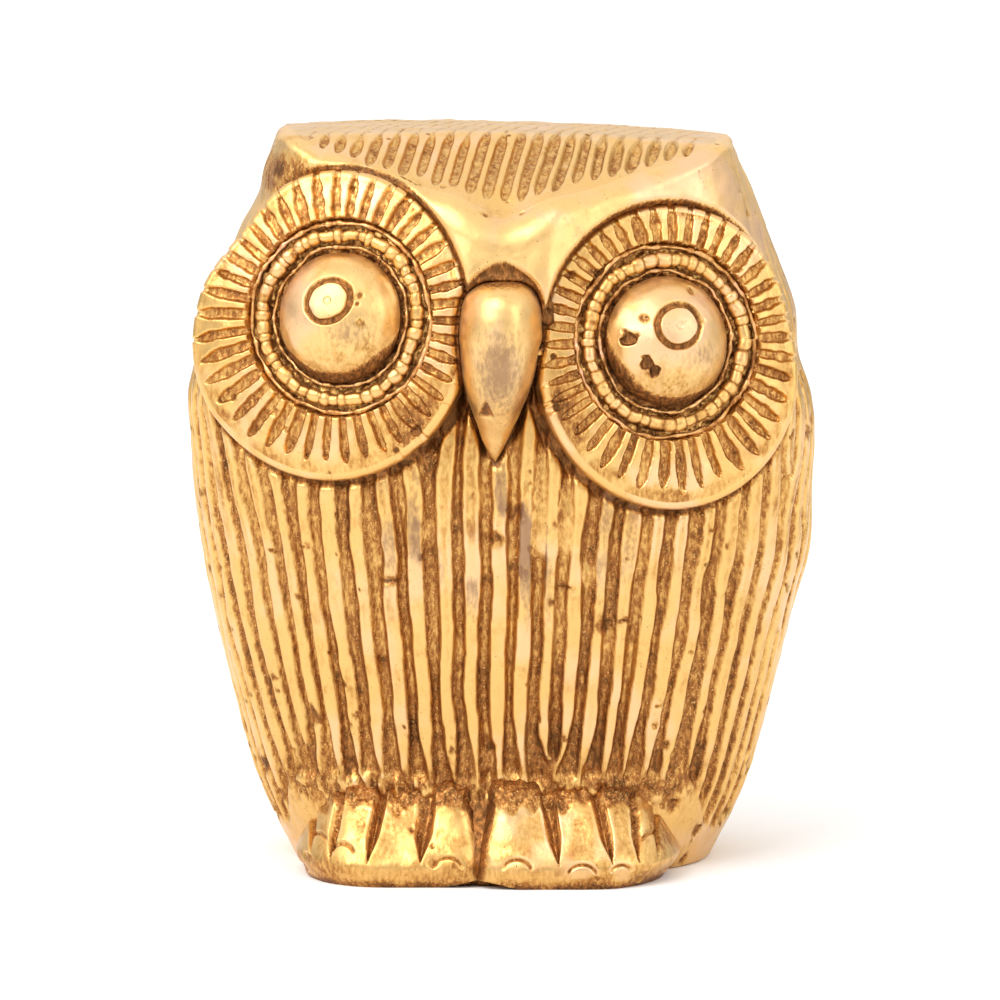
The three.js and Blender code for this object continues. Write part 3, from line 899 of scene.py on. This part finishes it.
def make_ring(face, kind, radius, thick, seed, slot, beads=0):
    """A wire laid round the eye, or with beads a string of barrel-shaped beads."""
    angle = all_round(beads * 14 if beads else 420)
    turn = all_round(18)[:, None]
    still = 0 * angle
    swell = 1 + 0.5 * noise(seed, angle * 16, still)
    stretch = 0.0
    if beads:
        phase = beads * angle / CIRCLE + 0.45 * noise(seed + 1, angle * 6, still)
        k = np.floor(phase) % beads
        apart = np.abs(phase - np.floor(phase) - 0.5) * 2
        swell = 0.66 + 0.36 * np.sqrt(np.clip(1 - apart**2.2, 0, 1))
        swell = swell * (0.72 + 0.46 * chance(seed + 2, k))
        stretch = 0.16
    wander = 0.18 * noise(seed + 3, angle * 2.5, still) + 0.09 * noise(seed + 9, angle * 9, still)
    across = radius + wander + thick * (swell + stretch) * np.cos(turn)
    lift = thick * swell * np.sin(turn)
    u, v = across * np.cos(angle), across * np.sin(angle)
    sunk = thick + 0.25 - CHANNEL_DEPTH
    w = sunk + lift + 0.06 * noise(seed + 4, u * 1.6, v * 1.6, lift) + 0 * u
    # painted shade on the underside of the wire or beads, where they sit in the channel
    shade = 0.75 * step(0.55, -0.45, np.sin(turn)) + 0 * w
    if beads:
        # painted shade in the gaps between the beads
        shade = np.maximum(shade, step(0.6, 1.0, apart) * 0.65 + 0.12 * noise(seed + 6, u, v))
    else:
        shade = np.maximum(shade, 0.3 + 0.35 * noise(seed + 5, u, v))
    piece = tube_ring(f"owl_{face.side}_{kind}", face.world(np.stack([u, v, w], -1)), shade)
    finish_piece(piece, f"{face.side}_{kind}", slot)


# each pupil's place across and up from the eye's axis
PUPILS = {"right": (0.13, 1.55), "left": (-0.06, 1.45)}
PUPIL_RADIUS, PUPIL_GROOVE = 2.25, 0.35
SHADED = {"right": math.radians(-88), "left": math.radians(-112)}  # each dome's lower side, painted darker as shade
EYE_PITS = {
    "right": [(3.1, 1.3, 0.22, 0.12)],
    "left": [(-5.0, 0.45, 0.75, 0.5), (-3.5, -2.3, 0.7, 0.45), (-2.6, -3.2, 0.6, 0.5)],
}


def make_eye(face, seed):
    """A dome with a ring engraved for its pupil."""
    angle = all_round(420)
    lean = np.linspace(0.004, math.asin(EYE_RADIUS / BALL), 150)
    r = np.concatenate([BALL * np.sin(lean), EYE_RADIUS - np.linspace(0, 0.35, 10)[1:]])
    w = np.concatenate([BALL * np.cos(lean) - BALL + EYE_RISE, -np.linspace(0, 1.9, 10)[1:]])
    u, v = r[:, None] * np.cos(angle), r[:, None] * np.sin(angle)
    grid = np.stack([u, v, w[:, None] + 0 * u], -1)
    pu, pv = PUPILS[face.side]
    bearing = np.arctan2(v - pv, u - pu)
    out = np.hypot(u - pu, (v - pv) * 1.03)
    uneven = 0.05 * np.cos(2 * bearing - 1) + 0.02 * noise(seed, bearing * 2, 0 * u)
    ring = PUPIL_RADIUS * (1 + uneven)
    notch = bell(bearing - 0.15, 0.09) * bell(out - PUPIL_RADIUS - 0.25, 0.35)
    width = PUPIL_GROOVE * (1 + 0.15 * noise(seed + 1, bearing * 3, 0 * u))
    cut = np.maximum(step(1.25, 0.5, np.abs(out - ring) / width), notch)
    dot = bell(out, 0.28) * 0.12 + 0.08 * bell(out - 0.3, 0.12)
    pit = 0.14 * pits(seed + 2, 1.4, 0.04, u, v)
    pit = np.maximum(pit, placed_pits(EYE_PITS[face.side], 0.45, seed + 6, u, v))
    swell = 0.07 * noise(seed + 7, u / 3, v / 3, w[:, None]) + 0.02 * noise(seed + 8, u, v)
    top = step(-0.3, 0.2, w)[:, None]
    shift = swell - (0.4 * cut + dot + pit) * top
    # painted shade: the dome's skirt darkens into the crease under it, most on its shaded side, and
    # the lower side of the dome is painted darker
    dark = SHADED[face.side]
    shaded_side = step(0.0, 0.85, np.cos(angle - dark)) + 0 * u
    shaded_skirt = step(mix(0.2, 1.9, shaded_side), mix(-0.6, 1.0, shaded_side), w[:, None])
    low = step(0.1, 0.95, r[:, None] / EYE_RADIUS * np.cos(angle - dark - 0.3))
    low = low * (0.3 + 0.2 * noise(seed + 9, u, v))
    engraved = np.maximum(cut * 0.95, np.minimum(1, 5 * pit)) * top
    shade = most(shaded_skirt * mix(0.75, 1, shaded_side), engraved, low)
    grey = 0.5 * bell(u - 2.4, 2.8) * bell(v + 1.6, 1.8) * (1 - cut)
    piece = skin(f"owl_{face.side}_eye", face.world(raised(grid, shift)), shade, grey)
    finish_piece(piece, f"{face.side}_eye", "worn_brass")


# ---- Feet ----

# each toe groove's place across at its top and its bottom, and half its width
TOES = {
    "right": [(-19.1, -19.7, 0.4), (-16.4, -17.6, 0.55), (-12.2, -13.7, 0.7), (-7.6, -8.3, 0.95)],
    "left": [(4.4, 5.7, 0.8), (9.4, 11.2, 0.75), (13.3, 13.9, 0.6), (15.4, 15.9, 0.3)],
}
# each claw's crescent: its place across and up, and its radius
CLAWS = {
    "right": [(-18.7, 4.3, 0.7), (-16.2, 3.4, 1.1), (-5.6, 1.9, 1.5)],
    "left": [(1.4, 2.0, 1.4), (8.0, 1.5, 1.4), (12.0, 1.7, 1.0), (15.0, 4.6, 0.8)],
}
TOE_TOP, TOE_LOW = 9.4, 2.6
FOOT_GAP = {"right": -2.4, "left": -2.0}  # the sides of the groove between the feet, at its top
FOOT_OUTER = {"right": (0.0, 0.04), "left": (1.2, 0.1)}  # inset, and how round the sole's edge is
FOOT_SQUARENESS = (2.4, 7)  # at the outer side and beside the other foot
FOOT_HALF_LENGTH = 12.6
# the foot's outline from its top down to the floor: share of its full size, and height
FOOT_SHARES = [0.05, 0.25, 0.45, 0.62, 0.79, 0.92, 0.975, 1.0, 0.975, 0.935]
FOOT_HEIGHTS = [10.6, 10.4, 10.0, 9.2, 6.5, 4.2, 3.1, 2.0, 0.8, 0.0]


def make_foot(side):
    """A paw whose toes slope to a low sole band, with a groove beside the other foot whose wall is
    painted dark as shade.
    """
    low, high = node_box(f"{side}_foot")
    sign = -1 if side == "right" else 1
    ahead = low[1] - AXIS[1]
    inset, rounded = FOOT_OUTER[side]
    outer = (high[0] if sign > 0 else low[0]) - sign * inset
    middle_y = ahead + FOOT_HALF_LENGTH
    angle = all_round(600)
    c, s = np.cos(angle), np.sin(angle)
    knots = np.arange(len(FOOT_HEIGHTS))
    at = np.linspace(0, knots[-1], 160)
    share = through(knots, FOOT_SHARES, at)[:, None]
    z = np.maximum(through(knots, FOOT_HEIGHTS, at), 0)[:, None] + 0 * angle
    # towards the other foot the wall is steep, and the two meet low down in a V
    steep = step(0.35, 0.9, -sign * c)
    share = 1 - (1 - share) * mix(1, 0.1, steep)
    share = share - rounded * step(2.6, 0, z) * step(0.2, 0.9, sign * c)
    inner = mix(FEET_MIDDLE - 1.1 * sign, FOOT_GAP[side], np.clip((z - 1.2) / 7.0, 0, 1))
    power = mix(*FOOT_SQUARENESS, step(-0.1, 0.3, -sign * c))
    r = share * (np.abs(c) ** power + np.abs(s) ** power) ** (-1 / power)
    x = (outer + inner) / 2 + r * np.abs(outer - inner) / 2 * c
    y = middle_y + r * FOOT_HALF_LENGTH * s
    plain = np.stack([x, y, z], -1)
    cut = np.zeros(x.shape)
    # bright gathers painted highlights along the edges of the toe grooves and claws
    bright = np.zeros(x.shape)
    for top, bottom, width in TOES[side]:
        down = np.clip((TOE_TOP - z) / (TOE_TOP - TOE_LOW), 0, 1.3)
        off = np.abs(x - mix(top, bottom, down) + 0.08 * noise(81, z / 1.5, x * 0))
        half = width * step(1.08, 0.55, down) + 1e-3
        cut = np.maximum(cut, np.clip(1 - off / half, 0, 1) ** 0.8 * step(1.08, 0.9, down))
        bright = np.maximum(bright, bell(off - half - 0.12, 0.16) * step(1.0, 0.8, down))
    claw = np.zeros(x.shape)
    for cx, cz, size in CLAWS[side]:
        ring = np.abs(np.hypot(x - cx, (z - cz) * 1.2) - size)
        claw = np.maximum(claw, bell(ring, 0.17) * step(cz - 0.1, cz + 0.5, z))
        bright = np.maximum(bright, bell(ring - 0.3, 0.14) * step(cz - 0.1, cz + 0.5, z))
    front = step(middle_y + 2, middle_y - 1, y)
    # painted shade on the wall that faces the other foot
    gap = step(0.45, 0.85, -sign * normals(plain)[..., 0]) * step(0.2, 1.2, z)
    facet = step(14.2, 15.2, x) * step(1.5, 4.5, z) * (0.34 + 0.3 * noise(91, x / 1.5, z / 1.5))
    swell = 0.1 * noise(83, x / 2.2, z / 2.2) + 0.03 * noise(84, x, z)
    sole = step(3.4, 1.6, z)
    crusty = step(7.4, 8.5, z + 0.6 * noise(89, x, y)) * front
    pit = 0.2 * pits(85, 1.6, 0.06, x + 0.2 * noise(86, x / 0.6, z / 0.6), z)
    shift = (swell - 1.0 * cut - 0.3 * claw - pit) * front * step(0, 0.4, z)
    shift = shift + 0.25 * crusty * rough(90, 2, x / 0.9, z / 0.9)
    grooved = np.maximum(0.75 * step(0.1, 0.5, cut), claw * 0.7) * front
    shade = most(grooved, crusty * 0.75, gap, facet * front, np.minimum(1, 3 * pit))
    blotch = step(-0.5, 0.5, noise(92, x / 2, z / 2))
    # the sole band's tone, with its lowest millimetre painted dark as a contact shadow
    sole = sole * (0.1 + 0.1 * blotch) + 0.5 * step(1.0, 0.2, z) + 0.06 + 0.2 * blotch
    # painted highlights beside the toe grooves and claws make the bare metal paler
    shade = np.where(shade < 0.05, sole - 0.3 * bright * front, shade)
    grid = raised(plain, shift)
    # a shallow arch under the groove between the feet
    arch = 0.8 * bell(x - FEET_MIDDLE, 2.6) * front
    grid[..., 2] = np.maximum(grid[..., 2], arch)
    finish_piece(skin(f"owl_{side}_foot", grid, shade), f"{side}_foot", "feather_brass")


# ---- Materials ----


# the pale gilt is the colour of painted highlights
BROWN, HIGHLIGHT_GILT, GREY_METAL = (0.36, 0.145, 0.04), (0.92, 0.71, 0.37), (0.29, 0.165, 0.095)
# each brass: where it is polished, flushed and half stained, its roughness and its grain
MIXES = {
    "feather_brass": ((0.74, 0.455, 0.155), (0.78, 0.5, 0.25), (0.57, 0.31, 0.09), 0.34, 0.28),
    "worn_brass": ((0.78, 0.505, 0.2), (0.77, 0.5, 0.28), (0.62, 0.36, 0.11), 0.4, 0.12),
    "recess_brass": ((0.74, 0.43, 0.18), (0.74, 0.43, 0.26), (0.6, 0.32, 0.11), 0.38, 0.3),
}


def smooth_range(tree, value, numbers):
    """A node that takes a value from one range to another with soft ends."""
    node = tree.nodes.new("ShaderNodeMapRange")
    node.interpolation_type = "SMOOTHSTEP"
    for socket, number in zip(("From Min", "From Max", "To Min", "To Max"), numbers):
        node.inputs[socket].default_value = number
    tree.links.new(value, node.inputs["Value"])
    return node.outputs["Result"]


def brass_material(name, polished, blush, mid, gloss, grain):
    """Brass that is bright where it is handled, brown and matte where tarnish lodges or shade is
    painted in, and pale gilt where highlights are painted.
    """
    material = bpy.data.materials.new(name)
    material.use_nodes = True
    nodes, links = material.node_tree.nodes, material.node_tree.links
    shader = nodes["Principled BSDF"]
    place = nodes.new("ShaderNodeTexCoord").outputs["Object"]
    drawn = nodes.new("ShaderNodeMapping")
    drawn.inputs["Scale"].default_value = (1, 1, 0.45)
    links.new(place, drawn.inputs["Vector"])

    def noise_node(scale, detail, roughness=0.55, at=place):
        node = nodes.new("ShaderNodeTexNoise")
        node.inputs["Scale"].default_value = scale
        node.inputs["Detail"].default_value = detail
        node.inputs["Roughness"].default_value = roughness
        links.new(at, node.inputs["Vector"])
        return node.outputs["Fac"]

    def span(value, low, high, out_low=0.0, out_high=1.0):
        return smooth_range(material.node_tree, value, (low, high, out_low, out_high))

    def math_node(kind, a, b):
        node = nodes.new("ShaderNodeMath")
        node.operation = kind
        for socket, value in zip(node.inputs, (a, b)):
            if isinstance(value, (int, float)):
                socket.default_value = value
            else:
                links.new(value, socket)
        return node.outputs[0]

    times, plus = partial(math_node, "MULTIPLY"), partial(math_node, "ADD")

    def blend(share, a, b):
        node = nodes.new("ShaderNodeMix")
        node.data_type = "RGBA"
        links.new(share, node.inputs["Factor"])
        for socket, value in (("A", a), ("B", b)):
            target = [i for i in node.inputs if i.name == socket and i.type == "RGBA"][0]
            if isinstance(value, tuple):
                target.default_value = (*value, 1)
            else:
                links.new(value, target)
        return [o for o in node.outputs if o.type == "RGBA"][0]

    def layer(name):
        node = nodes.new("ShaderNodeAttribute")
        node.attribute_name = name
        return node.outputs["Fac"]

    # this layer holds real tarnish, painted shade in creases, gaps and undersides, and painted
    # highlights as negative values
    stain = layer("tarnish_and_painted_light")
    broad = noise_node(120, 3)
    haze = noise_node(260, 5, 0.65)
    waves = noise_node(520, 2)
    fine = noise_node(2600, 3, 0.6, drawn.outputs["Vector"])
    grit = noise_node(4800, 2)
    # the stain breaks up with the grain, and painted glints show in it as specks paler than the
    # polished metal
    ragged = times(span(fine, 0.25, 0.75, -0.3, 0.3), span(stain, 0, 0.5, 0.3, 1))
    hazy = times(span(haze, 0.52, 0.7), span(stain, -0.3, 0.2, 0, 0.3))
    level = plus(plus(times(stain, 0.84), ragged), hazy)
    # the darkest stop colours pits and the painted shade of the deepest creases
    ramp = nodes.new("ShaderNodeValToRGB")
    stops = ((0.03, polished), (0.3, mid), (0.6, BROWN), (0.98, tuple(c * 0.38 for c in BROWN)))
    for _ in stops[2:]:
        ramp.color_ramp.elements.new(0.5)
    for element, (position, tint) in zip(ramp.color_ramp.elements, stops):
        element.position = position
        element.color = (*tint, 1)
    links.new(level, ramp.inputs["Fac"])
    worn = times(span(broad, 0.47, 0.66), span(stain, 0.02, 0.3, 1, 0))
    colour = blend(worn, ramp.outputs["Color"], blush)
    # negative values paint highlights in the pale gilt
    colour = blend(span(stain, -0.05, -0.6, 0, 0.8), colour, HIGHLIGHT_GILT)
    glints = times(span(grit, 0.58, 0.68), span(stain, 0.3, 0.6, 0, 0.7))
    glints = times(glints, span(stain, 0.95, 0.75))
    colour = blend(glints, colour, tuple(min(1, c * 1.15) for c in polished))
    pinholes = times(span(grit, 0.33, 0.28), span(noise_node(300, 3), 0.47, 0.6))
    colour = blend(times(pinholes, 0.85), colour, tuple(c * 0.3 for c in BROWN))
    grey = span(plus(layer("dulled"), span(fine, 0.3, 0.7, -0.15, 0.15)), 0.15, 0.85)
    colour = blend(times(grey, 0.85), colour, GREY_METAL)
    links.new(colour, shader.inputs["Base Color"])
    dull = plus(span(level, 0.1, 0.6, gloss, 0.5), span(waves, 0.3, 0.7, -0.05, 0.07))
    links.new(dull, shader.inputs["Roughness"])
    links.new(span(level, 0.4, 0.9, 1.0, 0.88), shader.inputs["Metallic"])
    bump = nodes.new("ShaderNodeBump")
    bump.inputs["Distance"].default_value = 0.00012
    bump.inputs["Strength"].default_value = 1.0
    lumps = times(fine, span(stain, 0.1, 0.7, grain, 1.0))
    links.new(plus(lumps, times(waves, 0.5)), bump.inputs["Height"])
    links.new(bump.outputs["Normal"], shader.inputs["Normal"])
    return material


# ---- Stage: floor, lights and camera ----

TARGET = Vector((-0.0003, 0, 0.0373))
CAMERA_DISTANCE, CAMERA_ELEVATION, CAMERA_LENS = 0.65, math.radians(6), 226
SKY = (-0.05, 0.5, 0.45, 1.3)  # the sky's strength rises from the third to the fourth number


def make_stage():
    floor = bpy.data.meshes.new("floor")
    side = 30.0
    corners = [(-side, -side, 0), (side, -side, 0), (side, side, 0), (-side, side, 0)]
    floor.from_pydata(corners, [], [(0, 1, 2, 3)])
    ground = add_object("floor", floor)
    paper = bpy.data.materials.new("paper")
    paper.use_nodes = True
    sheet = paper.node_tree.nodes["Principled BSDF"].inputs
    sheet["Base Color"].default_value = (0.9, 0.9, 0.9, 1)
    sheet["Roughness"].default_value = 0.9
    sheet["Specular IOR Level"].default_value = 0.1
    floor.materials.append(paper)


def make_sky():
    """A white studio: brightest overhead, and dimmer low down in front of the owl."""
    world = bpy.data.worlds.new("studio")
    world.use_nodes = True
    nodes, links = world.node_tree.nodes, world.node_tree.links
    place = nodes.new("ShaderNodeTexCoord")
    parts = nodes.new("ShaderNodeSeparateXYZ")
    links.new(place.outputs["Generated"], parts.inputs["Vector"])
    rise = smooth_range(world.node_tree, parts.outputs["Z"], SKY)
    # seen directly the backdrop is plain white
    seen = nodes.new("ShaderNodeLightPath")
    choose = nodes.new("ShaderNodeMix")
    choose.inputs["B"].default_value = 1.0
    links.new(seen.outputs["Is Camera Ray"], choose.inputs["Factor"])
    links.new(rise, choose.inputs["A"])
    links.new(choose.outputs["Result"], nodes["Background"].inputs["Strength"])
    nodes["Background"].inputs["Color"].default_value = (1, 1, 1, 1)
    bpy.context.scene.world = world
    bpy.context.scene.view_settings.view_transform = "Standard"


def make_light(name, place, size, power):
    lamp = bpy.data.lights.new(name, "AREA")
    lamp.shape = "RECTANGLE"
    lamp.size, lamp.size_y = size
    lamp.energy = power
    light = add_object(name, lamp)
    light.location = place
    light.rotation_euler = (TARGET - Vector(place)).to_track_quat("-Z", "Y").to_euler()


def make_camera():
    lens = bpy.data.cameras.new("camera")
    lens.lens = CAMERA_LENS
    lens.clip_end = 20
    camera = add_object("camera", lens)
    back = Vector((0, -math.cos(CAMERA_ELEVATION), math.sin(CAMERA_ELEVATION)))
    camera.location = TARGET + CAMERA_DISTANCE * back
    camera.rotation_euler = (-back).to_track_quat("-Z", "Y").to_euler()
    bpy.context.scene.camera = camera


make_camera()
make_stage()
make_sky()
make_light("key", (-0.45, -0.5, 0.6), (0.8, 0.7), 6)
make_light("fill", (0.65, -0.45, 0.3), (0.4, 0.6), 1.2)

BRASSES = {name: brass_material(name, *mix_of) for name, mix_of in MIXES.items()}
make_body()
make_head()
make_beak()
for face, seed in zip(FACES.values(), (200, 300)):
    make_disc(face, seed)
    make_ring(face, "inner_wire", 7.05, 0.2, seed + 40, "recess_brass")
    make_ring(face, "bead_ring", 8.3, 0.59, seed + 50, "feather_brass", BEADS)
    make_ring(face, "outer_wire", 9.6, 0.24, seed + 60, "recess_brass")
    make_eye(face, seed + 70)
for side in FACES:
    make_foot(side)
